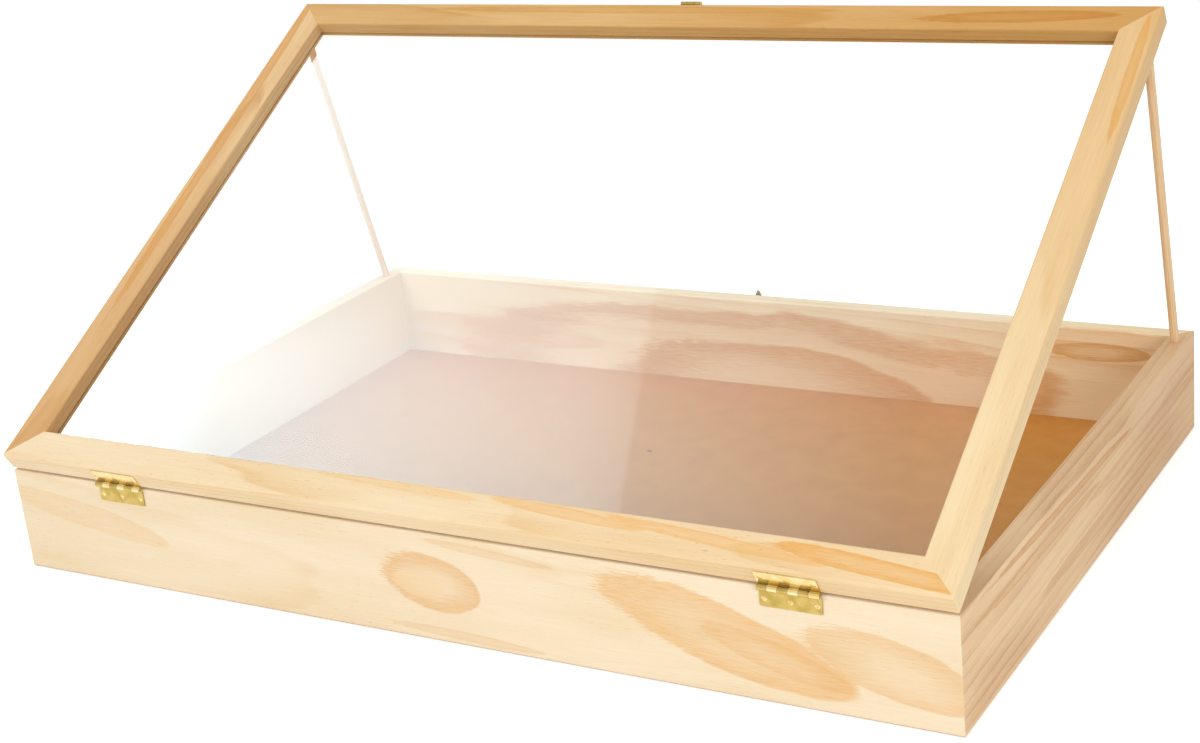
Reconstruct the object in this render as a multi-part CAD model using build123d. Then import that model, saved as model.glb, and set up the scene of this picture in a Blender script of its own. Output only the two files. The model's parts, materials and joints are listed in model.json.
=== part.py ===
from build123d import *
import os
from math import asin, atan2, cos, degrees, radians, sin, sqrt

# Countertop display case: a shallow pine tray with a hinged, glazed lid.
# Millimetres. X runs along the front, Y from the front to the back, Z up.
# The origin is the middle of the case's underside. The lid is modelled shut
# and then turned about its hinge pins to the angle at which the props hold it.

# Case
case_width = 914.0
case_depth = 614.0
case_height = 98.0
board_thickness = 19.0
board_foot_round = 3.0
board_rim_ease = 1.2
case_corner_ease = 1.5

# Floor panel, laid in a rebate from below and held by brads
floor_thickness = 3.2
floor_recess = 1.8
floor_lap = 9.0
floor_edge_clearance = 0.5
brad_shank_diameter = 1.2
brad_head_diameter = 3.0
brad_head_height = 0.6
brad_length = 13.0
brad_spacing = 140.0

# Splines glued across the mitres of the case
spline_thickness = 3.0
spline_width = 12.0
spline_length = 60.0
spline_base_height = 18.0

# Lid frame
lid_thickness = 19.0
lid_back_setback = 2.0
lid_gap_above_rim = 1.0
lid_open_angle = 30.0
rail_width = 32.0
rail_outer_round = 3.0
rail_inner_round = 2.0
rail_under_ease = 1.0
lid_corner_ease = 2.0

# Clear pane, let into a groove all round the lid frame
pane_thickness = 3.0
pane_groove_depth = 6.0
pane_lip_thickness = 3.0
pane_face_clearance = 0.1
pane_edge_clearance = 0.5

# V nails pressed into the lid's mitres from below
v_nail_leg = 5.0
v_nail_sheet = 0.5
v_nail_depth = 10.0
v_nail_first_inset = 10.0
v_nail_pitch = 7.0

# Butt hinges on the front faces of the case and the lid
hinge_width = 50.8
hinge_end_inset = 105.6
hinge_leaf_height = 16.5
hinge_leaf_thickness = 1.0
hinge_leaf_corner = 0.8
hinge_barrel_diameter = 5.4
hinge_barrel_wood_clearance = 0.3
hinge_pin_diameter = 2.4
hinge_running_clearance = 0.05
hinge_knuckles = 6
hinge_knuckle_gap = 0.2
hinge_leaf_relief = 0.35
hinge_screw_from_end = 3.8
hinge_screw_from_pin = 10.2

# Oval-head brass screws
screw_head_diameter = 4.6
screw_dome_height = 0.8
screw_shank_diameter = 2.2
screw_length = 13.0
screw_tip_length = 2.5
screw_slot_width = 0.6
screw_slot_length = 2.8
screw_slot_depth = 0.5
screw_slot_turn = 20.0
fastener_seat_clearance = 0.05

# Props: loose dowels between a socket in the rim and one under the lid
prop_diameter = 8.0
prop_end_round = 1.2
prop_back_setback = 33.0
rim_socket_depth = 16.0
rim_socket_running_clearance = 0.08
lid_socket_depth = 8.0
lid_socket_clearance = 0.6
prop_top_seat_gap = 0.3

# Hasp at the middle of the back edges
latch_centre_x = 3.0
latch_width = 21.0
latch_plate_thickness = 1.0
latch_plate_corner = 1.5
latch_plate_foot_height = 2.0
latch_pin_height = 16.0
latch_barrel_diameter = 4.5
latch_pin_diameter = 1.8
latch_running_clearance = 0.05
latch_barrel_wood_offset = 3.0
latch_knuckle_width = 8.2
latch_knuckle_gap = 0.2
latch_leaf_relief = 0.3
flap_thickness = 1.2
flap_length = 26.5
flap_window_width = 14.0
flap_side_drop = 8.0
flap_foot_bar = 4.0
flap_corner_round = 3.0
catch_width = 16.0
catch_height = 24.0
catch_top_below_rim = 3.0
catch_screw_below_top = 15.0
catch_sheet = 1.0
hook_reach = 5.2
hook_rise = 6.4
hook_root_width = 8.0
hook_tip_width = 2.0
hook_bar = 1.2
latch_screw_spacing = 12.0
latch_screw_length = 9.0

# Places worked out from the sizes above
half_width = case_width / 2
half_depth = case_depth / 2
lid_depth = case_depth - lid_back_setback
lid_centre_y = -lid_back_setback / 2
lid_back_y = half_depth - lid_back_setback
lid_under_z = case_height + lid_gap_above_rim
rebate_height = floor_thickness + floor_recess
rebate_width = floor_lap + floor_edge_clearance
barrel_radius = hinge_barrel_diameter / 2
pin_radius = hinge_pin_diameter / 2
pin_y = -half_depth - barrel_radius - hinge_barrel_wood_clearance
pin_z = case_height + lid_gap_above_rim / 2
hinge_centre_x = half_width - hinge_end_inset - hinge_width / 2
hinge_axis = Axis((0, pin_y, pin_z), (1, 0, 0))
prop_radius = prop_diameter / 2
prop_x = half_width - board_thickness / 2
prop_y = half_depth - prop_back_setback
latch_back_y = lid_back_y + latch_plate_thickness
latch_pin_y = lid_back_y + latch_barrel_wood_offset
latch_pin_z = lid_under_z + latch_pin_height
latch_barrel_radius = latch_barrel_diameter / 2

FOOT = (Align.CENTER, Align.CENTER, Align.MIN)

# How far a cutting shape runs past the face it starts from
cut_overrun = 1.0


def block(x_range, y_range, z_range):
    """A plain box between two limits on each axis."""
    size = [high - low for low, high in (x_range, y_range, z_range)]
    middle = [(high + low) / 2 for low, high in (x_range, y_range, z_range)]
    return Pos(*middle) * Box(*size)


def rod(start, direction, radius, length):
    """A round bar from a point along a direction."""
    return Plane(origin=start, z_dir=direction) * Cylinder(radius, length, align=FOOT)


def rod_along_x(centre_x, y, z, radius, length):
    """A round bar along X about its middle."""
    return rod((centre_x - length / 2, y, z), (1, 0, 0), radius, length)


def group(solids):
    """Separate solids that share one node."""
    return Compound(children=[piece for solid in solids for piece in solid.solids()])


def opened(shape):
    """Turn a piece of the shut lid to the angle at which the props hold it."""
    return shape.rotate(hinge_axis, lid_open_angle)


def opened_point(y, z):
    """Where a point of the shut lid lies once the lid is propped."""
    turn = radians(lid_open_angle)
    dy, dz = y - pin_y, z - pin_z
    return pin_y + dy * cos(turn) - dz * sin(turn), pin_z + dy * sin(turn) + dz * cos(turn)


# Mitred frames


def round_corner(face, x, y, radius):
    """Round the corner of a flat section that lies nearest to a point."""
    nearest = face.vertices().sort_by(lambda v: (v.X - x) ** 2 + (v.Y - y) ** 2)[0]
    return fillet(nearest, radius)


def board_section():
    """Section of a case board: outer face at x = 0, underside at y = 0."""
    corner = (Align.MIN, Align.MIN)
    section = Rectangle(board_thickness, case_height, align=corner)
    section = round_corner(section, 0, 0, board_foot_round)
    section = round_corner(section, 0, case_height, board_rim_ease)
    section = round_corner(section, board_thickness, case_height, board_rim_ease)
    rebate = Rectangle(rebate_width, rebate_height, align=corner)
    return section - Pos(board_thickness - rebate_width, 0) * rebate


def rail_section():
    """Section of a lid rail: outer face at x = 0, underside at y = 0."""
    corner = (Align.MIN, Align.MIN)
    section = Rectangle(rail_width, lid_thickness, align=corner)
    section = round_corner(section, 0, lid_thickness, rail_outer_round)
    section = round_corner(section, rail_width, lid_thickness, rail_inner_round)
    section = round_corner(section, 0, 0, rail_under_ease)
    section = round_corner(section, rail_width, 0, rail_under_ease)
    groove_height = pane_thickness + 2 * pane_face_clearance
    groove = Rectangle(pane_groove_depth, groove_height, align=corner)
    return section - Pos(rail_width - pane_groove_depth, pane_lip_thickness) * groove


def mitred_member(section, stock_width, length, half_span, turn, corner_ease):
    """One side of a mitred frame: a section run along X at Y = -half_span, then turned."""
    start = Plane(origin=(-length / 2, -half_span, 0), x_dir=(0, 1, 0), z_dir=(1, 0, 0))
    stick = extrude(start * section, amount=length)
    height = section.bounding_box().max.Y
    half = length / 2
    outline = Polyline(
        (-half, -half_span),
        (half, -half_span),
        (half - stock_width, -half_span + stock_width),
        (-half + stock_width, -half_span + stock_width),
        close=True,
    )
    member = stick & extrude(make_face(outline), amount=height)
    for side in (-1, 1):
        square = Box(2 * corner_ease, 2 * corner_ease, height, align=FOOT)
        centre = Pos(side * (half - corner_ease), -half_span + corner_ease, 0)
        round_part = Cylinder(corner_ease, height, align=FOOT)
        quarter = Pos(side * corner_ease, -corner_ease, 0) * square
        member -= centre * (quarter - round_part)
    return Rot(0, 0, turn) * member


def case_board(turn, length, half_span):
    return mitred_member(
        board_section(), board_thickness, length, half_span, turn, case_corner_ease
    )


def lid_member(turn, length, half_span):
    member = mitred_member(rail_section(), rail_width, length, half_span, turn, lid_corner_ease)
    return Pos(0, lid_centre_y, lid_under_z) * member


# Fasteners


def screw(point, direction, length, seat=False):
    """An oval-head wood screw with its head's rim level with a face, or the seat it needs."""
    grow = fastener_seat_clearance if seat else 0
    head_radius = screw_head_diameter / 2 + grow
    shank_radius = screw_shank_diameter / 2 + grow
    rim = (head_radius, 0)
    dome_radius = (head_radius**2 + screw_dome_height**2) / (2 * screw_dome_height)
    half_turn = asin(head_radius / dome_radius) / 2
    dome_drop = dome_radius * (1 - cos(half_turn))
    dome_middle = (dome_radius * sin(half_turn), screw_dome_height - dome_drop)
    outline = ThreePointArc((0, screw_dome_height), dome_middle, rim)
    outline += Polyline(
        rim,
        (shank_radius, shank_radius - head_radius),
        (shank_radius, screw_tip_length - length),
        (0, -length - grow),
        (0, screw_dome_height),
    )
    body = revolve(Plane.XZ * make_face(outline), Axis.Z)
    if not seat:
        for turn in (0, 90):
            slot = Box(screw_slot_length, screw_slot_width, 2 * screw_slot_depth)
            body -= Pos(0, 0, screw_dome_height) * Rot(0, 0, turn + screw_slot_turn) * slot
    return Plane(origin=point, x_dir=(1, 0, 0), z_dir=direction) * body


def bore_for(piece, screws):
    """Cut the seats of the screws into a piece."""
    for seat in screws:
        piece -= seat
    return piece


def reaching(piece, seats):
    """The seats whose middles lie in or beside a piece."""
    box = piece.bounding_box()
    found = []
    for seat in seats:
        middle = seat.bounding_box().center()
        in_x = box.min.X - spline_width < middle.X < box.max.X + spline_width
        in_y = box.min.Y - spline_width < middle.Y < box.max.Y + spline_width
        if in_x and in_y:
            found.append(seat)
    return found


def floor_brad_places():
    """Middles of the floor's brads, evenly spaced round the rebate."""
    from_edge = board_thickness - rebate_width + floor_edge_clearance + floor_lap / 2
    reach_x = half_width - from_edge
    reach_y = half_depth - from_edge
    places = []
    for reach, other, along_x in ((reach_x, reach_y, True), (reach_y, reach_x, False)):
        count = max(2, round(2 * reach / brad_spacing))
        step = 2 * reach / count
        for index in range(count):
            along = -reach + step * (index + 0.5)
            for side in (-1, 1):
                places.append((along, side * other) if along_x else (side * other, along))
    return places


def floor_brad(place, seat=False):
    """A brad driven up through the floor panel, its head under the panel."""
    radius = brad_shank_diameter / 2 + (fastener_seat_clearance if seat else 0)
    brad = Cylinder(radius, brad_length, align=FOOT)
    if not seat:
        brad += Cylinder(brad_head_diameter / 2, brad_head_height, align=FOOT)
    return Pos(*place, floor_recess - brad_head_height) * brad


def mitre_spline(side_x, side_y, seat=False):
    """A plywood spline across one upright mitre of the case."""
    grow = fastener_seat_clearance if seat else 0
    x = side_x * (half_width - board_thickness / 2)
    y = side_y * (half_depth - board_thickness / 2)
    size = (spline_width + 2 * grow, spline_thickness + 2 * grow, spline_length + 2 * grow)
    spline = Pos(x, y, spline_base_height + spline_length / 2)
    return spline * Rot(0, 0, -45 * side_x * side_y) * Box(*size)


def v_nail(side_x, side_y, inset, seat=False):
    """A folded steel nail across one mitre of the lid, flush with the underside."""
    grow = fastener_seat_clearance if seat else 0
    x = side_x * (half_width - inset)
    y = side_y * (lid_depth / 2 - inset)
    half_sheet = v_nail_sheet / 2 + grow
    height = (-grow, v_nail_depth + grow)
    leg_x = sorted((x - side_x * (v_nail_leg + grow), x + side_x * half_sheet))
    leg_y = sorted((y - side_y * (v_nail_leg + grow), y + side_y * half_sheet))
    nail = block(leg_x, (y - half_sheet, y + half_sheet), height)
    nail += block((x - half_sheet, x + half_sheet), leg_y, height)
    return Pos(0, lid_centre_y, lid_under_z) * nail


# Hinges


def knuckle_span(index):
    """Ends along the barrel of one knuckle, from the hinge's middle."""
    pitch = hinge_width / hinge_knuckles
    start = -hinge_width / 2 + index * pitch
    return start + hinge_knuckle_gap / 2, start + pitch - hinge_knuckle_gap / 2


def hinge_leaf(centre_x, way, first_knuckle, bore_radius):
    """One leaf flat on the front face, below the pin for way -1 and above it for way 1."""
    face_y = -half_depth
    relief = barrel_radius + hinge_leaf_relief
    leaf_z = sorted((pin_z + way * relief, pin_z + way * hinge_leaf_height))
    leaf_x = (centre_x - hinge_width / 2, centre_x + hinge_width / 2)
    leaf = block(leaf_x, (face_y - hinge_leaf_thickness, face_y), leaf_z)
    leaf = fillet(leaf.edges().filter_by(Axis.Y), hinge_leaf_corner)
    for index in range(first_knuckle, hinge_knuckles, 2):
        low, high = knuckle_span(index)
        span = (centre_x + low, centre_x + high)
        tab_z = sorted((pin_z, pin_z + way * (relief + hinge_leaf_corner)))
        leaf += block(span, (face_y - hinge_leaf_thickness, face_y), tab_z)
        leaf += rod((span[0], pin_y, pin_z), (1, 0, 0), barrel_radius, high - low)
    bore_length = hinge_width + 2 * cut_overrun
    return leaf - rod_along_x(centre_x, pin_y, pin_z, bore_radius, bore_length)


def hinge_screws(centre_x, way, seat=False):
    """Three screws in one leaf."""
    face_y = -half_depth - hinge_leaf_thickness
    z = pin_z + way * hinge_screw_from_pin
    outer_step = hinge_width / 2 - hinge_screw_from_end
    places = [centre_x + step * outer_step for step in (-1, 0, 1)]
    return [screw((x, face_y, z), (0, -1, 0), screw_length, seat) for x in places]


def hinge_pin(centre_x):
    return rod_along_x(centre_x, pin_y, pin_z, pin_radius, hinge_width)


# Props


def prop_line():
    """Foot of a prop on the rim, its direction up to the lid's socket, and its tilt."""
    top_y, top_z = opened_point(prop_y, lid_under_z + lid_socket_depth / 2)
    dy, dz = top_y - prop_y, top_z - case_height
    span = sqrt(dy * dy + dz * dz)
    return (0, dy / span, dz / span), atan2(-dy, dz), span


def lid_socket(side):
    """Blind hole square into the underside of a stile, wide enough for the leaning prop."""
    tilt_to_lid = radians(lid_open_angle) - prop_line()[1]
    spread = prop_radius / cos(tilt_to_lid) + lid_socket_depth / 2 * sin(tilt_to_lid)
    radius = spread + lid_socket_clearance
    start = (side * prop_x, prop_y, lid_under_z - cut_overrun)
    return rod(start, (0, 0, 1), radius, lid_socket_depth + cut_overrun)


def rim_socket(side):
    """Blind hole in the rim along the prop's line, a running fit."""
    direction = prop_line()[0]
    radius = prop_radius + rim_socket_running_clearance
    foot = Vector(side * prop_x, prop_y, case_height) - Vector(*direction) * rim_socket_depth
    return rod(foot, direction, radius, 2 * rim_socket_depth)


def prop_dowel(side):
    """A dowel from the foot of the rim socket to just under the lid socket's end."""
    direction, tilt, span = prop_line()
    tilt_to_lid = radians(lid_open_angle) - tilt
    past_middle = (lid_socket_depth / 2 - prop_top_seat_gap) / cos(tilt_to_lid)
    rounded_rise = (prop_radius - prop_end_round) * sin(tilt_to_lid) + prop_end_round
    past_middle -= (rounded_rise - prop_end_round * cos(tilt_to_lid)) / cos(tilt_to_lid)
    length = rim_socket_depth + span + past_middle
    foot = Vector(side * prop_x, prop_y, case_height) - Vector(*direction) * rim_socket_depth
    dowel = Cylinder(prop_radius, length, align=FOOT)
    dowel = fillet(dowel.edges().filter_by(GeomType.CIRCLE), prop_end_round)
    return Plane(origin=foot, z_dir=direction) * dowel


# Hasp


def latch_lid_plate():
    """Plate on the back edge of the lid with the two outer knuckles of the barrel."""
    low_x, high_x = latch_centre_x - latch_width / 2, latch_centre_x + latch_width / 2
    low_z = lid_under_z + latch_plate_foot_height
    relief_z = latch_pin_z - latch_barrel_radius - latch_leaf_relief
    plate = block((low_x, high_x), (lid_back_y, latch_back_y), (low_z, relief_z))
    foot_corners = plate.edges().filter_by(Axis.Y).sort_by(Axis.Z)[:2]
    plate = fillet(foot_corners, latch_plate_corner)
    flap_half = latch_knuckle_width / 2 + latch_knuckle_gap
    spans = (low_x, latch_centre_x - flap_half), (latch_centre_x + flap_half, high_x)
    for span in spans:
        plate += block(span, (lid_back_y, latch_back_y), (relief_z, latch_pin_z))
        start = (span[0], latch_pin_y, latch_pin_z)
        plate += rod(start, (1, 0, 0), latch_barrel_radius, span[1] - span[0])
    bore_length = latch_width + 2 * cut_overrun
    hole = rod_along_x(
        latch_centre_x, latch_pin_y, latch_pin_z, latch_pin_diameter / 2, bore_length
    )
    return plate - hole


def latch_flap():
    """Swinging loop that hangs from the barrel and closes over the hook."""
    outer_y = latch_pin_y + latch_barrel_radius
    sheet = (outer_y - flap_thickness, outer_y)
    relief_z = latch_pin_z - latch_barrel_radius - latch_leaf_relief
    foot_z = latch_pin_z - flap_length
    width = (latch_centre_x - latch_width / 2, latch_centre_x + latch_width / 2)
    flap = block(width, sheet, (foot_z, relief_z))
    foot_corners = flap.edges().filter_by(Axis.Y).sort_by(Axis.Z)[:2]
    flap = fillet(foot_corners, flap_corner_round)
    window_x = (latch_centre_x - flap_window_width / 2, latch_centre_x + flap_window_width / 2)
    window_z = (foot_z + flap_foot_bar, latch_pin_z - flap_side_drop)
    through = (sheet[0] - cut_overrun, sheet[1] + cut_overrun)
    flap -= block(window_x, through, window_z)
    half = latch_knuckle_width / 2
    span = (latch_centre_x - half, latch_centre_x + half)
    flap += block(span, sheet, (relief_z, latch_pin_z))
    start = (span[0], latch_pin_y, latch_pin_z)
    flap += rod(start, (1, 0, 0), latch_barrel_radius, span[1] - span[0])
    bore_radius = latch_pin_diameter / 2 + latch_running_clearance
    hole = rod_along_x(latch_centre_x, latch_pin_y, latch_pin_z, bore_radius, latch_width)
    return flap - hole


def latch_catch():
    """Plate on the back of the case with a tapered hook that rises past the rim."""
    top_z = case_height - catch_top_below_rim
    low_x, high_x = latch_centre_x - catch_width / 2, latch_centre_x + catch_width / 2
    sheet = (half_depth, half_depth + catch_sheet)
    plate = block((low_x, high_x), sheet, (top_z - catch_height, top_z))
    plate = fillet(plate.edges().filter_by(Axis.Y), latch_plate_corner)
    out_y = half_depth + hook_reach
    tip_z = top_z + hook_rise
    side_view = Polyline(
        (half_depth + catch_sheet / 2, top_z - hook_bar),
        (out_y - hook_bar, top_z - hook_bar),
        (out_y, top_z),
        (out_y, tip_z),
        (out_y - hook_bar, tip_z),
        (out_y - hook_bar, top_z),
        (half_depth + catch_sheet / 2, top_z),
        close=True,
    )
    lean = Plane(
        origin=(latch_centre_x - hook_root_width / 2, 0, 0), x_dir=(0, 1, 0), z_dir=(1, 0, 0)
    )
    hook = extrude(lean * make_face(side_view), amount=hook_root_width)
    half_root, half_tip = hook_root_width / 2, hook_tip_width / 2
    back_view = Polyline(
        (-half_root, top_z - 2 * hook_bar),
        (half_root, top_z - 2 * hook_bar),
        (half_root, top_z),
        (half_tip, tip_z),
        (-half_tip, tip_z),
        (-half_root, top_z),
        close=True,
    )
    facing = Plane(origin=(latch_centre_x, half_depth, 0), x_dir=(1, 0, 0), z_dir=(0, -1, 0))
    taper = extrude(facing * make_face(back_view), amount=-2 * hook_reach)
    return plate + (hook & taper)


def latch_screws(face_y, z, seat=False):
    """Two screws in a plate of the hasp."""
    places = [latch_centre_x + side * latch_screw_spacing / 2 for side in (-1, 1)]
    return [screw((x, face_y, z), (0, 1, 0), latch_screw_length, seat) for x in places]


# The case and what is fixed to it

plate_screw_z = (
    lid_under_z + latch_plate_foot_height
    + (latch_pin_height - latch_plate_foot_height - latch_barrel_radius - latch_leaf_relief) / 2
)
catch_screw_z = case_height - catch_top_below_rim - catch_screw_below_top

corners = [(side_x, side_y) for side_x in (-1, 1) for side_y in (-1, 1)]
brads = [floor_brad(place) for place in floor_brad_places()]
brad_seats = [floor_brad(place, seat=True) for place in floor_brad_places()]
splines = [mitre_spline(*corner) for corner in corners]
spline_seats = [mitre_spline(*corner, seat=True) for corner in corners]
base_leaf_seats = hinge_screws(-hinge_centre_x, -1, True) + hinge_screws(hinge_centre_x, -1, True)
catch_face_y = half_depth + catch_sheet
catch_seats = latch_screws(catch_face_y, catch_screw_z, True)

case_boards = {
    "front_board": bore_for(case_board(0, case_width, half_depth), base_leaf_seats),
    "right_board": case_board(90, case_depth, half_width) - rim_socket(1),
    "back_board": bore_for(case_board(180, case_width, half_depth), catch_seats),
    "left_board": case_board(270, case_depth, half_width) - rim_socket(-1),
}
nodes = {}
for name, board in case_boards.items():
    nodes[name] = bore_for(board, reaching(board, brad_seats + spline_seats))
nodes["case_corner_splines"] = group(splines)

panel_reach = floor_lap - board_thickness
floor_half_x = half_width + panel_reach
floor_half_y = half_depth + panel_reach
floor_panel = block(
    (-floor_half_x, floor_half_x), (-floor_half_y, floor_half_y), (floor_recess, rebate_height)
)
nodes["floor_panel"] = bore_for(floor_panel, brad_seats)
nodes["floor_brads"] = group(brads)

nodes["latch_catch"] = bore_for(latch_catch(), catch_seats)
nodes["latch_catch_screws"] = group(latch_screws(catch_face_y, catch_screw_z))

# Both hinges

for side, name in ((-1, "left"), (1, "right")):
    centre_x = side * hinge_centre_x
    base_leaf = hinge_leaf(centre_x, -1, 0, pin_radius)
    lid_leaf = hinge_leaf(centre_x, 1, 1, pin_radius + hinge_running_clearance)
    base_leaf = bore_for(base_leaf, hinge_screws(centre_x, -1, True))
    lid_leaf = bore_for(lid_leaf, hinge_screws(centre_x, 1, True))
    nodes[name + "_hinge_base_leaf"] = base_leaf
    nodes[name + "_hinge_lid_leaf"] = opened(lid_leaf)
    nodes[name + "_hinge_pin"] = hinge_pin(centre_x)
    nodes[name + "_hinge_base_screws"] = group(hinge_screws(centre_x, -1))
    nodes[name + "_hinge_lid_screws"] = opened(group(hinge_screws(centre_x, 1)))

# The lid

nail_insets = [v_nail_first_inset + step * v_nail_pitch for step in (0, 1)]
v_nails = [v_nail(*corner, inset) for corner in corners for inset in nail_insets]
nail_seats = [v_nail(*corner, inset, seat=True) for corner in corners for inset in nail_insets]
lid_leaf_seats = hinge_screws(-hinge_centre_x, 1, True) + hinge_screws(hinge_centre_x, 1, True)
plate_seats = latch_screws(latch_back_y, plate_screw_z, True)

lid_members = {
    "lid_front_rail": bore_for(lid_member(0, case_width, lid_depth / 2), lid_leaf_seats),
    "lid_right_stile": lid_member(90, lid_depth, half_width) - lid_socket(1),
    "lid_back_rail": bore_for(lid_member(180, case_width, lid_depth / 2), plate_seats),
    "lid_left_stile": lid_member(270, lid_depth, half_width) - lid_socket(-1),
}
for name, member in lid_members.items():
    nodes[name] = opened(bore_for(member, reaching(member, nail_seats)))
nodes["lid_corner_nails"] = opened(group(v_nails))

pane_margin = rail_width - pane_groove_depth + pane_edge_clearance
pane_low_z = lid_under_z + pane_lip_thickness + pane_face_clearance
window_pane = block(
    (-half_width + pane_margin, half_width - pane_margin),
    (-half_depth + pane_margin, lid_back_y - pane_margin),
    (pane_low_z, pane_low_z + pane_thickness),
)
nodes["window_pane"] = opened(window_pane)

nodes["latch_lid_plate"] = opened(bore_for(latch_lid_plate(), plate_seats))
nodes["latch_plate_screws"] = opened(group(latch_screws(latch_back_y, plate_screw_z)))
latch_pin = rod_along_x(
    latch_centre_x, latch_pin_y, latch_pin_z, latch_pin_diameter / 2, latch_width
)
nodes["latch_pin"] = opened(latch_pin)
nodes["latch_flap"] = opened(latch_flap())

# The props

nodes["left_prop_dowel"] = prop_dowel(-1)
nodes["right_prop_dowel"] = prop_dowel(1)

os.makedirs("parts", exist_ok=True)
for name, shape in nodes.items():
    export_step(shape, f"parts/{name}.step")

direction, tilt, span = prop_line()
latch_y, latch_z = opened_point(latch_pin_y, latch_pin_z)
print(f"hinge axis y {pin_y:.3f} z {pin_z:.3f}")
print(f"prop axis foot x {prop_x:.3f} y {prop_y:.3f} z {case_height:.3f}")
print(f"prop direction y {direction[1]:.5f} z {direction[2]:.5f}, leans {degrees(tilt):.2f} degrees")
print(f"latch axis x {latch_centre_x:.3f} y {latch_y:.3f} z {latch_z:.3f}")
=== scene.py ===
# %% [markdown]
# # A pine display case with a clear lid
# This lesson dresses a shallow shop display case: a mitred pine tray with a
# hardboard floor, and a glazed lid that two brass hinges carry along the front and
# two loose dowels prop open. The boards, the hinges and the hasp arrive as finished
# solids at their real size. They could be modelled again here, but their shapes are
# already right, so the work is in the wood, the metal, the clear sheet and the light.

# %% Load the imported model
import json
from math import cos, pi, radians, sin

import bpy
from mathutils import Matrix, Vector


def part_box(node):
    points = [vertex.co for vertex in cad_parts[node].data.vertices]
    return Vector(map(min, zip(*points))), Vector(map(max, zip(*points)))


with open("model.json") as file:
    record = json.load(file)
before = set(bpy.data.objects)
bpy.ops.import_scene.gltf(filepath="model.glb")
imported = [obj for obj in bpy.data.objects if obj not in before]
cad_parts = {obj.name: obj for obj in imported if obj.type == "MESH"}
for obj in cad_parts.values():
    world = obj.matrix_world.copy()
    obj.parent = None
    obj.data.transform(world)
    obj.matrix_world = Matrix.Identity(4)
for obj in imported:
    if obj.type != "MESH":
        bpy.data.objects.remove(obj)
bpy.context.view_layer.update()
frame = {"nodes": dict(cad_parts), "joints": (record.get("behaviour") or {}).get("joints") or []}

# %% [markdown]
# Every size below is a real one. The scene is in metres. Pine is easier to think of
# in millimetres, so its patterns are built in them. Colours are written as the hex
# values that a screen shows, and one function turns them to the linear values that a
# shader works with.

# %% Units and colours
MM = 0.001


def linear(code):
    """An sRGB hex colour as linear red, green, blue and a full alpha."""
    values = [int(code[i : i + 2], 16) / 255 for i in (1, 3, 5)]
    return [v / 12.92 if v <= 0.04045 else ((v + 0.055) / 1.055) ** 2.4 for v in values] + [1.0]


# %% [markdown]
# A material is a small tree of nodes. Writing each node out takes four or five
# lines, so one helper adds a node, sets its properties, fills its inputs and links
# those inputs that are given another node's output. The helpers after it each name
# one thing that the materials need again and again, such as a blend or a noise.

# %% Helpers that add nodes
def add(tree, kind, inputs=None, **settings):
    """Add a node; an input's value may be a constant or another node's output."""
    made = tree.nodes.new("ShaderNode" + kind)
    for name, value in settings.items():
        setattr(made, name, value)
    for key, value in (inputs or {}).items():
        if isinstance(value, bpy.types.NodeSocket):
            tree.links.new(value, made.inputs[key])
        else:
            made.inputs[key].default_value = value
    return made


def new_material(name):
    """A material with an empty tree, and its Object coordinates in metres."""
    material = bpy.data.materials.new(name)
    material.use_nodes = True
    tree = material.node_tree
    tree.nodes.clear()
    return material, tree, add(tree, "TexCoord").outputs["Object"]


def surface(tree, kind, inputs):
    """Add a shader and show it on the material's surface."""
    shader = add(tree, kind, inputs)
    add(tree, "OutputMaterial", {"Surface": shader.outputs[0]})


def calculate(tree, operation, *values, clamp=False):
    """Combine two or three numbers in one Math node."""
    inputs = dict(enumerate(values))
    return add(tree, "Math", inputs, operation=operation, use_clamp=clamp).outputs[0]


def blend_colours(tree, share, first, second, kind="MIX"):
    """Mix two colours, which are inputs 6 and 7 and output 2 of a Mix node."""
    inputs = {0: share, 6: first, 7: second}
    return add(tree, "Mix", inputs, data_type="RGBA", blend_type=kind).outputs[2]


def spread(tree, value, low, high, to_low=0.0, to_high=1.0):
    """Stretch the part of a value between two levels to a new range, eased at both ends."""
    inputs = {"Value": value, 1: low, 2: high, 3: to_low, 4: to_high}
    return add(tree, "MapRange", inputs, interpolation_type="SMOOTHSTEP").outputs[0]


def curve(tree, value, stops):
    """Read a grey level off a curve whose stops, a position and a level, run from 0 to 1."""
    node = add(tree, "ValToRGB", {"Fac": value})
    elements = node.color_ramp.elements
    for position, _ in stops[1:-1]:
        elements.new(position)
    for element, (_, level) in zip(elements, stops):
        element.color = (level, level, level, 1)
    return node.outputs[0]


def mapped(tree, place, location=(0, 0, 0), rotation=(0, 0, 0), scale=(1, 1, 1)):
    """Scale coordinates, then turn them, then move them."""
    inputs = {"Vector": place, "Location": location, "Rotation": rotation, "Scale": scale}
    return add(tree, "Mapping", inputs).outputs[0]


def noise(tree, place, size, detail=2.0, roughness=0.5):
    """Noise from 0 to 1 with grains of the given size along each axis."""
    stretched = mapped(tree, place, scale=[1 / length for length in size])
    inputs = {"Vector": stretched, "Scale": 1.0, "Detail": detail, "Roughness": roughness}
    return add(tree, "TexNoise", inputs).outputs["Fac"]


def bump(tree, height, strength, distance):
    """A surface direction that a height tilts, without changing the shape."""
    inputs = {"Height": height, "Strength": strength, "Distance": distance}
    return add(tree, "Bump", inputs).outputs[0]


# %% [markdown]
# Each case board and each lid member was cut from a different part of a plank, so
# no two have the same figure, and the grain of each runs along its own length. The
# pattern therefore works in a board's own directions: along the grain, across the
# face, and into the thickness. The lid's members are tilted with the lid, so their
# coordinates are first turned back about the hinge pins.

# %% A board's own directions
LID_OPEN_DEGREES = 30.0

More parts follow.
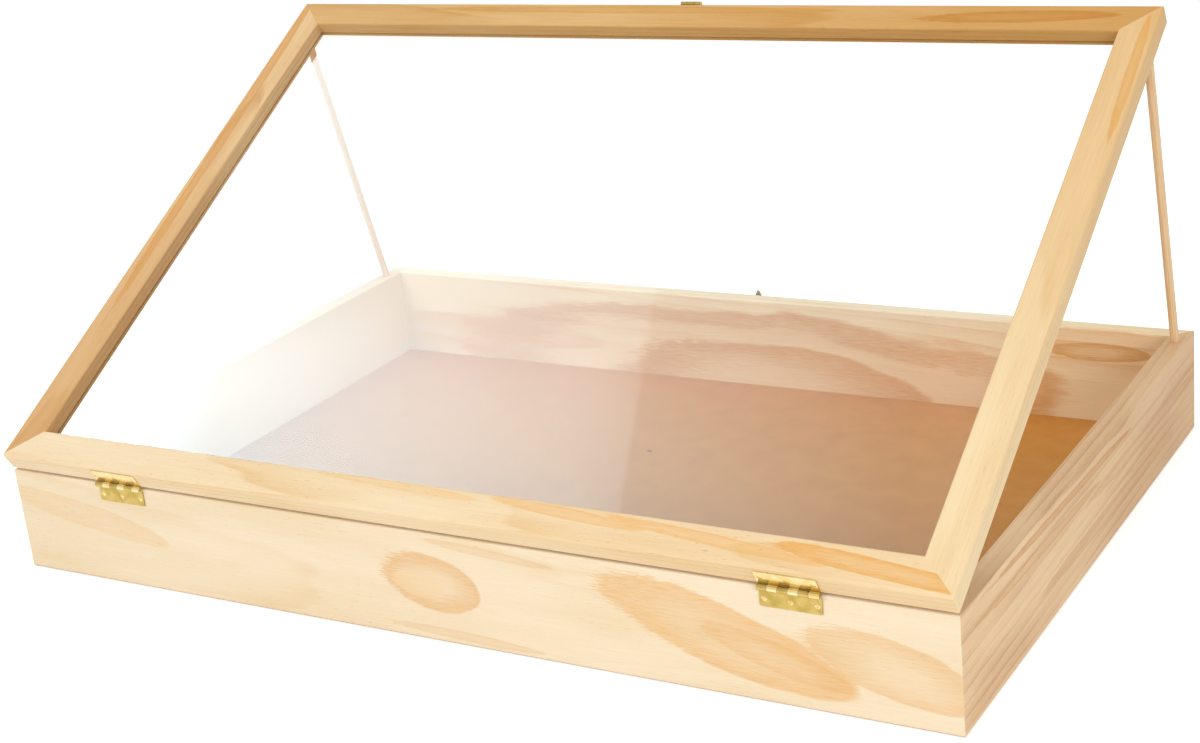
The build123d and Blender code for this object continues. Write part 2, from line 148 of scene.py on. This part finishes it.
hinge = next(joint for joint in frame["joints"] if joint["name"] == "lid_hinge")
hinge_point = Vector(hinge["pos_m"])
shut_turn = Matrix.Rotation(radians(-LID_OPEN_DEGREES), 3, "X")
shut_shift = hinge_point - shut_turn @ hinge_point


def board_place(tree, place, on_lid, grain_along_x, face_up):
    """Coordinates in millimetres: X along the grain, Y across the face, Z into the board."""
    if on_lid:
        place = mapped(tree, place, shut_shift, (radians(-LID_OPEN_DEGREES), 0, 0))
    parts = add(tree, "SeparateXYZ", {0: place}).outputs
    along, side = (parts[0], parts[1]) if grain_along_x else (parts[1], parts[0])
    across, into = (side, parts[2]) if face_up else (parts[2], side)
    own = add(tree, "CombineXYZ", {0: along, 1: across, 2: into}).outputs[0]
    return mapped(tree, own, scale=(1 / MM, 1 / MM, 1 / MM))


# %% [markdown]
# Flat-sawn pine shows growth rings as long arches and ovals, because a board's face
# cuts a slightly bent tree nearly along its length. A picture of wood would do, but
# it would repeat and run the wrong way round corners. Rings drawn in space round a
# pith that lies behind the face look right on the face, the edge and the mitre
# alike. The Wave texture draws such rings, its saw profile and a curve give each
# ring a slow start and a sharp end, and squeezing the grain direction first makes
# its wobble long and slender. The boldest ovals are patches of their own, so that
# they lie where the case has them. Fine fibres and short resin canals go on top, and
# the case's boards get a painted shade in the last two millimetres above the table,
# where their rounded foot turns away from the light.

# %% Clear-coated pine
CLOUD_MM = (230, 38, 38)
FIBRE_MM = (46, 1.1, 1.1)
CANAL_MM = (9, 0.9, 0.9)
DASH_MM = (15, 1, 1)
SWELL_MM = (110, 40, 40)
WAVE_UNITS_PER_RING = 2 * pi / 20
WOBBLE_PER_MM = 0.021
RING_SQUEEZE = 0.13
RING_LEVELS = ((0, 0), (0.48, 0.15), (0.8, 0.55), (0.95, 1), (1, 0.1))
CANAL_BROWN = "#B08052"
# Painted shade at the foot of the case's boards: its brown and the height over which it fades.
FOOT_SHADE_BROWN = "#A8713F"
FOOT_SHADE_MM = (0.8, 2.0)


def figure_patch(tree, own, colour, middle, half_size, tilt, tint, strength, fade):
    """A growth ring that the face only grazes: a sharp outer edge that fades inwards."""
    near = mapped(tree, own, location=(-middle[0], -middle[1], 0))
    turned = mapped(tree, near, rotation=(0, 0, radians(tilt)))
    sized = mapped(tree, turned, scale=(1 / half_size[0], 1 / half_size[1], 0))
    far = add(tree, "VectorMath", {0: sized}, operation="LENGTH").outputs["Value"]
    along = add(tree, "SeparateXYZ", {0: sized}).outputs[0]

    dashes = calculate(tree, "SUBTRACT", noise(tree, own, DASH_MM, detail=3.0), 0.5)
    swell = calculate(tree, "SUBTRACT", noise(tree, own, SWELL_MM), 0.5)
    rough = spread(tree, along, -1.0, 0.2, 0.75, 0.12)
    uneven = calculate(tree, "MULTIPLY_ADD", dashes, rough, far)
    uneven = calculate(tree, "MULTIPLY_ADD", swell, 0.5, uneven)

    inside = spread(tree, uneven, 0.97, 1.05, 1.0, 0.0)
    level = spread(tree, uneven, 0.25, 1.0, fade * strength, strength)
    lines = spread(tree, dashes, -0.2, 0.2, 0.72, 1.12)
    amount = calculate(tree, "MULTIPLY", inside, level)
    amount = calculate(tree, "MULTIPLY", amount, lines, clamp=True)
    return blend_colours(tree, amount, colour, linear(tint))


def pine(
    name, pale, gold, pith, ring=8.0, lean=0.0, wobble=2.0, depth=0.5, warm=(0, 1, 0),
    patches=(), on_lid=False, grain_along_x=True, face_up=False, cut=0.0,
):
    """Pine with rings about a pith given in millimetres across and behind the face.

    warm holds two places along the grain, and how golden the board is at the second.
    """
    material, tree, place = new_material(name)
    own = board_place(tree, place, on_lid, grain_along_x, face_up)
    own_parts = add(tree, "SeparateXYZ", {0: own}).outputs
    moved = mapped(tree, own, location=(cut, 0, 0))

    to_pith = mapped(tree, own, location=(0, -pith[0], -pith[1]))
    bent = mapped(tree, to_pith, rotation=(0, radians(lean), 0))
    slow = mapped(tree, bent, location=(cut, 0, 0), scale=(RING_SQUEEZE, 1, 1))
    ring_scale = WAVE_UNITS_PER_RING / ring
    rings = add(
        tree, "TexWave",
        {"Vector": slow, "Scale": ring_scale, "Distortion": wobble * 2 * pi,
         "Detail": 3.5, "Detail Scale": WOBBLE_PER_MM / ring_scale, "Detail Roughness": 0.45},
        wave_type="RINGS", rings_direction="X", wave_profile="SAW",
    ).outputs["Fac"]
    clouds = noise(tree, moved, CLOUD_MM)
    share = spread(tree, clouds, 0.36, 0.66, depth * 0.3, depth)
    ring_share = calculate(tree, "MULTIPLY", curve(tree, rings, RING_LEVELS), share)

    tinge = spread(tree, clouds, 0.3, 0.75, 0.0, 0.28)
    colour = blend_colours(tree, tinge, linear(pale), linear(gold))
    warmth = spread(tree, own_parts[0], warm[0], warm[1], 0.0, warm[2])
    colour = blend_colours(tree, warmth, colour, linear(gold))
    colour = blend_colours(tree, ring_share, colour, linear(gold))
    for patch in patches:
        colour = figure_patch(tree, own, colour, *patch)

    fibres = noise(tree, moved, FIBRE_MM, detail=3.0, roughness=0.6)
    streak = spread(tree, fibres, 0.3, 0.72, 0.0, 0.13)
    colour = blend_colours(tree, streak, colour, linear(gold), "MULTIPLY")
    ticks = spread(tree, noise(tree, moved, CANAL_MM, detail=1.0), 0.66, 0.76, 0.0, 0.85)
    ticks = calculate(tree, "MULTIPLY", ticks, share)
    colour = blend_colours(tree, ticks, colour, linear(CANAL_BROWN))
    # Painted shade: the case's boards turn brown in the last two millimetres above the table,
    # where the rounded foot is in shade.
    if not on_lid:
        painted_foot_shade = spread(tree, own_parts[1], *FOOT_SHADE_MM, 0.7, 0.0)
        colour = blend_colours(tree, painted_foot_shade, colour, linear(FOOT_SHADE_BROWN))

    surface(tree, "BsdfPrincipled", {
        "Base Color": colour,
        "Roughness": spread(tree, fibres, 0.3, 0.7, 0.50, 0.58),
        "Specular IOR Level": 0.22,
        "Normal": bump(tree, fibres, 0.12, 0.15 * MM),
    })
    return material


# %% [markdown]
# Now each board gets its own plank. The front board is pale cream with golden ovals,
# the back board has wide arches inside the case, and the lid's stiles and back rail
# are more golden than its front rail. A pith far behind the face gives wide, flat
# figure, and one close to it gives arches.
#
# A patch is written as its middle and half its size in millimetres, its tilt in
# degrees, its tint, how strong its edge is, and how much of that is left inside.

# %% One plank for each board
front_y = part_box("front_board")[0].y / MM
back_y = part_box("back_board")[1].y / MM
side_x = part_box("right_board")[1].x / MM

front_ovals = (
    ((0, 53), (46, 24), 8, "#E2B274", 0.72, 0.35),
    ((-14, 50), (24, 11), 8, "#F0D3A6", 0.60, 0.80),
    ((272, 48), (112, 27), 16, "#E6B97C", 0.78, 0.55),
    ((310, 40), (66, 13), 16, "#E0AF6E", 0.45, 0.30),
    ((402, 45), (72, 24), 14, "#E4B679", 0.62, 0.35),
    ((-370, 62), (95, 12), 9, "#EAC794", 0.50, 0.6),
    ((60, 88), (60, 4), 4, "#E2BA88", 0.45, 0.6),
    ((30, 9), (75, 4), 2, "#E2BA88", 0.45, 0.6),
)
back_ovals = (
    ((-20, 16), (350, 70), 0, "#DBA462", 0.78, 0.10),
    ((0, 12), (262, 55), 0, "#F6E0B8", 0.55, 0.90),
    ((12, 4), (172, 47), 0, "#DCA662", 0.90, 0.30),
    ((372, 75), (52, 9), 0, "#D69E55", 0.80, 0.4),
    ((-300, 40), (120, 14), 3, "#E4BA80", 0.45, 0.5),
)
front_rail_bands = (
    ((395, -292), (88, 8), 6, "#E5AC5C", 0.95, 0.6),
    ((262, -288), (90, 5), 5, "#EAB976", 0.85, 0.6),
    ((128, -283), (70, 5), 4, "#EAB976", 0.75, 0.6),
    ((-30, -280), (80, 4), 2, "#EDC387", 0.60, 0.6),
)
right_stile_bands = (
    ((215, 449), (75, 4.5), 1, "#DDA453", 0.80, 0.7),
)
left_stile_bands = (
    ((120, -447), (260, 6), 1, "#D69A50", 0.85, 0.7),
)
back_rail_bands = (
    ((330, 289), (90, 7), -2, "#C2822F", 0.85, 0.6),
    ((-60, 296), (240, 5), 0, "#CC9444", 0.70, 0.6),
)
side_streaks = (
    ((-70, 86), (180, 4), 2, "#C98F55", 0.70, 0.7),
    ((-130, 72), (150, 5), 2, "#D09A60", 0.60, 0.5),
    ((140, 58), (170, 7), 1, "#D0A070", 0.50, 0.5),
    ((40, 30), (200, 7), 1, "#D0A070", 0.50, 0.5),
)
planks = {
    "front_board": pine(
        "pine_front_board", "#F2E2C6", "#E2C38F", (45, front_y + 190), ring=9.0, lean=1.2,
        wobble=1.2, depth=0.35, patches=front_ovals,
    ),
    "back_board": pine(
        "pine_back_board", "#FBEDCB", "#DFB072", (15, back_y + 80), ring=7.5, lean=1.3,
        wobble=1.2, depth=0.55, warm=(150, 420, 0.2), patches=back_ovals, cut=400,
    ),
    "right_board": pine(
        "pine_right_board", "#F1D2A8", "#BC8652", (115, side_x - 70), ring=8.0, lean=-0.4,
        wobble=0.8, depth=0.58, warm=(-100, 300, 0.3), patches=side_streaks,
        grain_along_x=False, cut=900,
    ),
    "left_board": pine(
        "pine_left_board", "#F2DEBA", "#DBB07A", (30, -side_x + 100), ring=8.0, lean=1.3,
        wobble=1.2, depth=0.45, grain_along_x=False, cut=1700,
    ),
    "lid_front_rail": pine(
        "pine_lid_front_rail", "#F3E0BE", "#E2B97A", (-291, 8), ring=5.0, lean=1.0,
        wobble=1.0, depth=0.60, warm=(-300, 420, 0.35), patches=front_rail_bands,
        on_lid=True, face_up=True, cut=2400,
    ),
    "lid_back_rail": pine(
        "pine_lid_back_rail", "#DEB67A", "#C58C3C", (289, 10), ring=5.0, lean=-0.8,
        wobble=0.8, depth=0.60, warm=(-200, 430, 0.45), patches=back_rail_bands,
        on_lid=True, face_up=True, cut=3100,
    ),
    "lid_right_stile": pine(
        "pine_lid_right_stile", "#F2DCB1", "#D6A45E", (441, 0), ring=6.0, lean=1.0,
        wobble=0.8, depth=0.45, warm=(-260, 280, 0.55), patches=right_stile_bands,
        on_lid=True, grain_along_x=False, face_up=True, cut=3900,
    ),
    "lid_left_stile": pine(
        "pine_lid_left_stile", "#EECF9D", "#C88F4E", (-441, 0), ring=5.0, lean=-0.8,
        wobble=0.8, depth=0.60, warm=(250, -300, 0.5), patches=left_stile_bands,
        on_lid=True, grain_along_x=False, face_up=True, cut=4600,
    ),
}


def dress(node, material):
    """Give a carried-over node its one material."""
    piece = frame["nodes"][node]
    piece.data.materials.clear()
    piece.data.materials.append(material)


for node, material in planks.items():
    dress(node, material)
print("planks", len(planks))

# %% [markdown]
# The props are straight-grained dowels from a pale tropical wood, and the splines
# in the corners are plywood. Both are plain to the eye from a step away, so they
# get fibres along their length and little else. A prop leans with the lid, and its
# fibres have to lean with it, or their lines would run out at the dowel's side.

# %% Dowel and plywood
PROP_LEAN = 15.2
FIBRE_SLENDERNESS = 60


def straight_wood(name, pale, dark, lean, fibre_mm, roughness):
    """Wood with fine fibres that run upwards and lean towards the front by some degrees."""
    material, tree, place = new_material(name)
    upright = mapped(tree, place, rotation=(radians(-lean), 0, 0))
    across = fibre_mm * MM
    fibres = noise(tree, upright, (across, across, FIBRE_SLENDERNESS * across), detail=3.0)
    share = spread(tree, fibres, 0.3, 0.7)
    surface(tree, "BsdfPrincipled", {
        "Base Color": blend_colours(tree, share, linear(pale), linear(dark)),
        "Roughness": roughness,
        "Normal": bump(tree, fibres, 0.05, 0.05 * MM),
    })
    return material


dowel_wood = straight_wood("ramin_dowel", "#EFD2A8", "#DDB483", PROP_LEAN, 0.9, 0.5)
plywood = straight_wood("birch_plywood_spline", "#D9BC8E", "#B8925F", 0, 1.2, 0.7)
for side in ("left", "right"):
    dress(side + "_prop_dowel", dowel_wood)
dress("case_corner_splines", plywood)

# %% [markdown]
# The floor is tempered hardboard: wood fibre pressed in a hot plate and cured with
# oil until it is smooth, hard and brown. Its face is nearly even, with a faint mottle
# of fibre bundles, tiny dark specks and a slight sheen. Towards the back it is a
# little more golden, which is partly its own tone, and lighter, which is a painted
# pool of light where more light reaches the floor inside the case. One dark fleck
# the size of a grain of rice lies in it, a little to the left of the middle and
# behind it.

# %% Tempered hardboard
MOTTLE_SIZE = (0.026, 0.026, 0.026)
GRIT_SIZE = (0.0016, 0.0016, 0.0016)
SPECK_SIZE = 0.0022
FLECK_HALF_SIZE = (0.0042, 0.0022)
FLECK_TURN_DEGREES = 20
floor_low, floor_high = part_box("floor_panel")
fleck_place = Vector((-0.0184, 0.0945, floor_high.z))


def hardboard():
    """Brown board with a mottle, dark specks and one fleck."""
    material, tree, place = new_material("tempered_hardboard")
    mottle = noise(tree, place, MOTTLE_SIZE, detail=5.0, roughness=0.65)
    towards_back = add(tree, "SeparateXYZ", {0: place}).outputs[1]
    tone_and_painted_light_to_back = spread(tree, towards_back, floor_low.y, floor_high.y)
    # Painted light: towards the back the board turns lighter and more golden; part of the golden
    # tone is its own, and the lightening is a painted pool of light.
    colour = blend_colours(tree, tone_and_painted_light_to_back, linear("#AD8049"), linear("#D0924A"))
    share = spread(tree, mottle, 0.3, 0.7)
    colour = blend_colours(tree, share, colour, linear("#F8F5F0"), "MULTIPLY")

    cells = {"Vector": place, "Scale": 1 / SPECK_SIZE, "Randomness": 1.0}
    from_speck = add(tree, "TexVoronoi", cells).outputs["Distance"]
    dots = spread(tree, from_speck, 0.08, 0.16, 0.18, 0.0)
    colour = blend_colours(tree, dots, colour, linear("#8C5B34"))

    from_fleck = mapped(tree, place, location=-fleck_place)
    turned = mapped(tree, from_fleck, rotation=(0, 0, radians(FLECK_TURN_DEGREES)))
    sized = mapped(tree, turned, scale=(1 / FLECK_HALF_SIZE[0], 1 / FLECK_HALF_SIZE[1], 0))
    far = add(tree, "VectorMath", {0: sized}, operation="LENGTH").outputs["Value"]
    fleck = spread(tree, far, 0.6, 1.1, 0.85, 0.0)
    colour = blend_colours(tree, fleck, colour, linear("#6B4A34"))

    grit = noise(tree, place, GRIT_SIZE, detail=3.0)
    surface(tree, "BsdfPrincipled", {
        "Base Color": colour,
        "Roughness": spread(tree, mottle, 0.3, 0.7, 0.42, 0.5),
        "Specular IOR Level": 0.12,
        "Normal": bump(tree, grit, 0.012, 0.03 * MM),
    })
    return material


dress("floor_panel", hardboard())

# %% [markdown]
# The hinges and the hasp are stamped from brass strip, then tumbled and lacquered.
# Brass is a metal, so its colour tints its reflections, and its roughness decides
# how sharp they are. The rolling of the strip leaves faint lines along the leaf. It
# is all one brass, given in three copies that differ only by painted light: the
# lid's leaves are paler, a painted reflection of the white surround; the case's
# leaves and the hasp are darker, a painted dark reflection; and the screws are
# painted lighter, so that they stand out from the leaves without shade in their
# slots. Steel parts are the pins, the brads and the V nails.

# %% Lacquered brass and bright steel
BLOT_SIZE = (0.009, 0.009, 0.009)
LINE_SLENDERNESS = 30


def metal(name, tone, shade, roughness, line_mm):
    """A metal with faint rolling lines and a patchy sheen."""
    material, tree, place = new_material(name)
    across = line_mm * MM
    rolled = noise(tree, place, (LINE_SLENDERNESS * across, across, across), detail=3.0)
    share = spread(tree, noise(tree, place, BLOT_SIZE), 0.35, 0.65)
    surface(tree, "BsdfPrincipled", {
        "Base Color": blend_colours(tree, share, linear(tone), linear(shade)),
        "Metallic": 1.0,
        "Roughness": spread(tree, rolled, 0.3, 0.7, roughness, roughness + 0.08),
        "Normal": bump(tree, rolled, 0.08, 0.02 * MM),
    })
    return material


# Painted reflections: the same brass as a pale copy for the lid's leaves, a dark copy for the
# case's leaves and the hasp, and a lighter copy for the screws.
pale_brass_painted_reflection = metal("brass_strip_painted_pale_reflection", "#EAD8A4", "#E0C684", 0.12, 0.25)
dark_brass_painted_reflection = metal("brass_strip_painted_dark_reflection", "#C6AD64", "#B39850", 0.14, 0.25)
lighter_brass_screw = metal("brass_screw_painted_lighter", "#EED79A", "#DFC07A", 0.16, 0.2)
steel = metal("bright_steel_wire", "#B9B8B4", "#A3A29E", 0.30, 0.2)
for side in ("left", "right"):
    for leaf, leaf_brass_with_painted_reflection in (("base", dark_brass_painted_reflection), ("lid", pale_brass_painted_reflection)):
        dress(f"{side}_hinge_{leaf}_leaf", leaf_brass_with_painted_reflection)
        dress(f"{side}_hinge_{leaf}_screws", lighter_brass_screw)
    dress(side + "_hinge_pin", steel)
for node in ("latch_lid_plate", "latch_flap", "latch_catch"):
    dress(node, dark_brass_painted_reflection)
for node in ("latch_plate_screws", "latch_catch_screws"):
    dress(node, lighter_brass_screw)
for node in ("latch_pin", "floor_brads", "lid_corner_nails"):
    dress(node, steel)

# %% [markdown]
# The pane is a 3 mm acrylic sheet. It is clear, it mirrors a few percent of what is
# in front of it, and its sawn edge is hidden in the frame's groove. A clear shader
# alone would throw a dark shadow, because light through it would count as a rare
# bent ray, so shadow rays pass straight through instead.

# %% Clear acrylic
ACRYLIC_IOR = 1.49


def clear_sheet():
    """Clear acrylic that casts next to no shadow."""
    material, tree, _ = new_material("clear_acrylic_sheet")
    sheet = add(tree, "BsdfPrincipled", {
        "Base Color": linear("#FFFFFF"),
        "Roughness": 0.0,
        "IOR": ACRYLIC_IOR,
        "Transmission Weight": 1.0,
    })
    passing = add(tree, "BsdfTransparent", {"Color": linear("#FCFEFD")})
    shadow = add(tree, "LightPath").outputs["Is Shadow Ray"]
    surface(tree, "MixShader", {0: shadow, 1: sheet.outputs[0], 2: passing.outputs[0]})
    return material


dress("window_pane", clear_sheet())

# %% [markdown]
# The camera stands to the right of the front, a little above the case, and leans
# slightly to one side, so the case seems to tip to the right. Its place was found
# by matching the case's corners, and its lens is close to 63 mm.

# %% Camera
CAMERA_PLACE = (0.9487, -1.5417, 0.7793)
CAMERA_AZIMUTH = 31.81
CAMERA_ELEVATION = 19.84
CAMERA_LEAN = 5.97
CAMERA_LENS_MM = 62.7
CAMERA_SENSOR_MM = 36.0

turn, rise = radians(CAMERA_AZIMUTH), radians(CAMERA_ELEVATION)
looking = Vector((-sin(turn) * cos(rise), cos(turn) * cos(rise), -sin(rise)))
level = looking.to_track_quat("-Z", "Y").to_matrix()
leaning = Matrix.Rotation(radians(CAMERA_LEAN), 3, looking)
camera_data = bpy.data.cameras.new("camera")
camera_data.lens = CAMERA_LENS_MM
camera_data.sensor_width = CAMERA_SENSOR_MM
camera = bpy.data.objects.new("camera", camera_data)
bpy.context.scene.collection.objects.link(camera)
camera.matrix_world = Matrix.Translation(CAMERA_PLACE) @ (leaning @ level).to_4x4()
bpy.context.scene.camera = camera

# %% [markdown]
# A studio table and a white surround carry the case. The surround is white to the
# camera, to mirrors and through clear things, and dimmer as a light, so that the
# background is white without bleaching the wood. The table adds a little light of
# its own to the same rays, which leaves only a faint shadow under the case.

# %% Floor and surround
SURROUND_LIGHT = 0.56
FLOOR_RADIUS = 9.0
FLOOR_LIFT = 0.48


def seen_rays(tree):
    """1 for camera, glossy and transmission rays, and 0 for the rest."""
    path = add(tree, "LightPath").outputs
    some = calculate(tree, "MAXIMUM", path["Is Camera Ray"], path["Is Glossy Ray"])
    return calculate(tree, "MAXIMUM", some, path["Is Transmission Ray"])


def surround():
    """A white world that lights the case less than it shows."""
    world = bpy.data.worlds.new("white_surround")
    world.use_nodes = True
    tree = world.node_tree
    tree.nodes.clear()
    lit = add(tree, "Background", {"Color": linear("#FFFFFF"), "Strength": SURROUND_LIGHT})
    white = add(tree, "Background", {"Color": linear("#FFFFFF"), "Strength": 1.0})
    both = add(tree, "MixShader", {0: seen_rays(tree), 1: lit.outputs[0], 2: white.outputs[0]})
    add(tree, "OutputWorld", {"Surface": both.outputs[0]})
    bpy.context.scene.world = world


def studio_floor():
    """A wide disc of matt white paper under the case."""
    bpy.ops.object.select_all(action="DESELECT")
    bpy.ops.mesh.primitive_circle_add(vertices=96, radius=FLOOR_RADIUS, fill_type="NGON")
    floor = bpy.context.object
    floor.name = "studio_floor"
    material, tree, _ = new_material("white_paper_floor")
    paper = add(tree, "BsdfPrincipled", {
        "Base Color": linear("#F4F4F4"),
        "Roughness": 0.9,
        "Specular IOR Level": 0.0,
    })
    lift = calculate(tree, "MULTIPLY", seen_rays(tree), FLOOR_LIFT)
    glow = add(tree, "Emission", {"Color": linear("#FFFFFF"), "Strength": lift})
    surface(tree, "AddShader", {0: paper.outputs[0], 1: glow.outputs[0]})
    floor.data.materials.append(material)


surround()
studio_floor()

# %% [markdown]
# Three soft boxes light the case: a large one in front and to the left, a weaker one
# above, and a small one low on the right for the side board. The pane also mirrors a
# cool white card that hangs high on the left. In the sheet the card is a veil of
# light, bright at the far left and fading in steps towards a sharp edge near the
# middle. Only perfectly sharp mirror rays see that brightness, so it shows in the
# acrylic, and neither the wood nor the brass is bleached by it.

# %% Lamps and the card in the pane
def soft_box(name, place, target, size, watts):
    """A square area lamp that lights things but is never seen or mirrored itself."""
    data = bpy.data.lights.new(name, "AREA")
    data.shape = "SQUARE"
    data.size = size
    data.energy = watts
    lamp = bpy.data.objects.new(name, data)
    bpy.context.scene.collection.objects.link(lamp)
    aim = (Vector(target) - Vector(place)).to_track_quat("-Z", "Y")
    lamp.matrix_world = Matrix.Translation(place) @ aim.to_matrix().to_4x4()
    lamp.visible_glossy = False
    lamp.visible_transmission = False
    lamp.visible_camera = False


soft_box("front_soft_box", (-1.3, -3.0, 2.1), (0, 0, 0.1), 1.8, 40)
soft_box("top_soft_box", (0.2, 0.2, 3.0), (0, 0, 0), 1.6, 17)
soft_box("side_soft_box", (2.2, -1.9, 0.9), (0.46, -0.2, 0.05), 1.0, 22)

CARD_HEIGHT = 2.4
CARD_START_X = -0.48
CARD_FAR_X = -2.85
CARD_REACH_Y = (-0.4, 1.1)
CARD_COLOUR = "#D6F2FF"
CARD_BRIGHT = 17.0
CARD_FADE_Y = (0.0, 0.32)
CARD_FADE_TO = 0.62
CARD_STEPS = (
    (CARD_START_X, 0.0), (-1.075, 0.20), (-1.085, 0.30), (-1.21, 0.39), (-1.75, 0.55),
    (-2.15, 0.66), (-2.45, 1.0),
)


def glare_card():
    """A card over the case whose brightness only the pane's reflection shows."""
    bpy.ops.object.select_all(action="DESELECT")
    bpy.ops.mesh.primitive_plane_add(size=1.0)
    card = bpy.context.object
    card.name = "glare_card"
    size_x = CARD_START_X - CARD_FAR_X
    size_y = CARD_REACH_Y[1] - CARD_REACH_Y[0]
    middle = ((CARD_START_X + CARD_FAR_X) / 2, sum(CARD_REACH_Y) / 2, CARD_HEIGHT)
    card.data.transform(Matrix.Translation(middle) @ Matrix.Diagonal((size_x, size_y, 1, 1)))

    material, tree, place = new_material("glare_card_white")
    parts = add(tree, "SeparateXYZ", {0: place}).outputs
    last_x = CARD_STEPS[-1][0]
    across = {"Value": parts[0], 1: CARD_START_X, 2: last_x}
    share = add(tree, "MapRange", across).outputs[0]
    stops = [((x - CARD_START_X) / (last_x - CARD_START_X), level) for x, level in CARD_STEPS]
    bright = spread(tree, parts[1], *CARD_FADE_Y, CARD_BRIGHT, CARD_FADE_TO * CARD_BRIGHT)
    veil = calculate(tree, "MULTIPLY", curve(tree, share, stops), bright)
    sharp = add(tree, "LightPath").outputs["Is Singular Ray"]
    strength = calculate(tree, "MULTIPLY_ADD", veil, sharp, 1.0)
    surface(tree, "Emission", {"Color": linear(CARD_COLOUR), "Strength": strength})
    card.data.materials.append(material)
    card.visible_camera = False
    card.visible_diffuse = False
    card.visible_transmission = False
    card.visible_shadow = False


glare_card()
bpy.context.scene.view_settings.view_transform = "Standard"
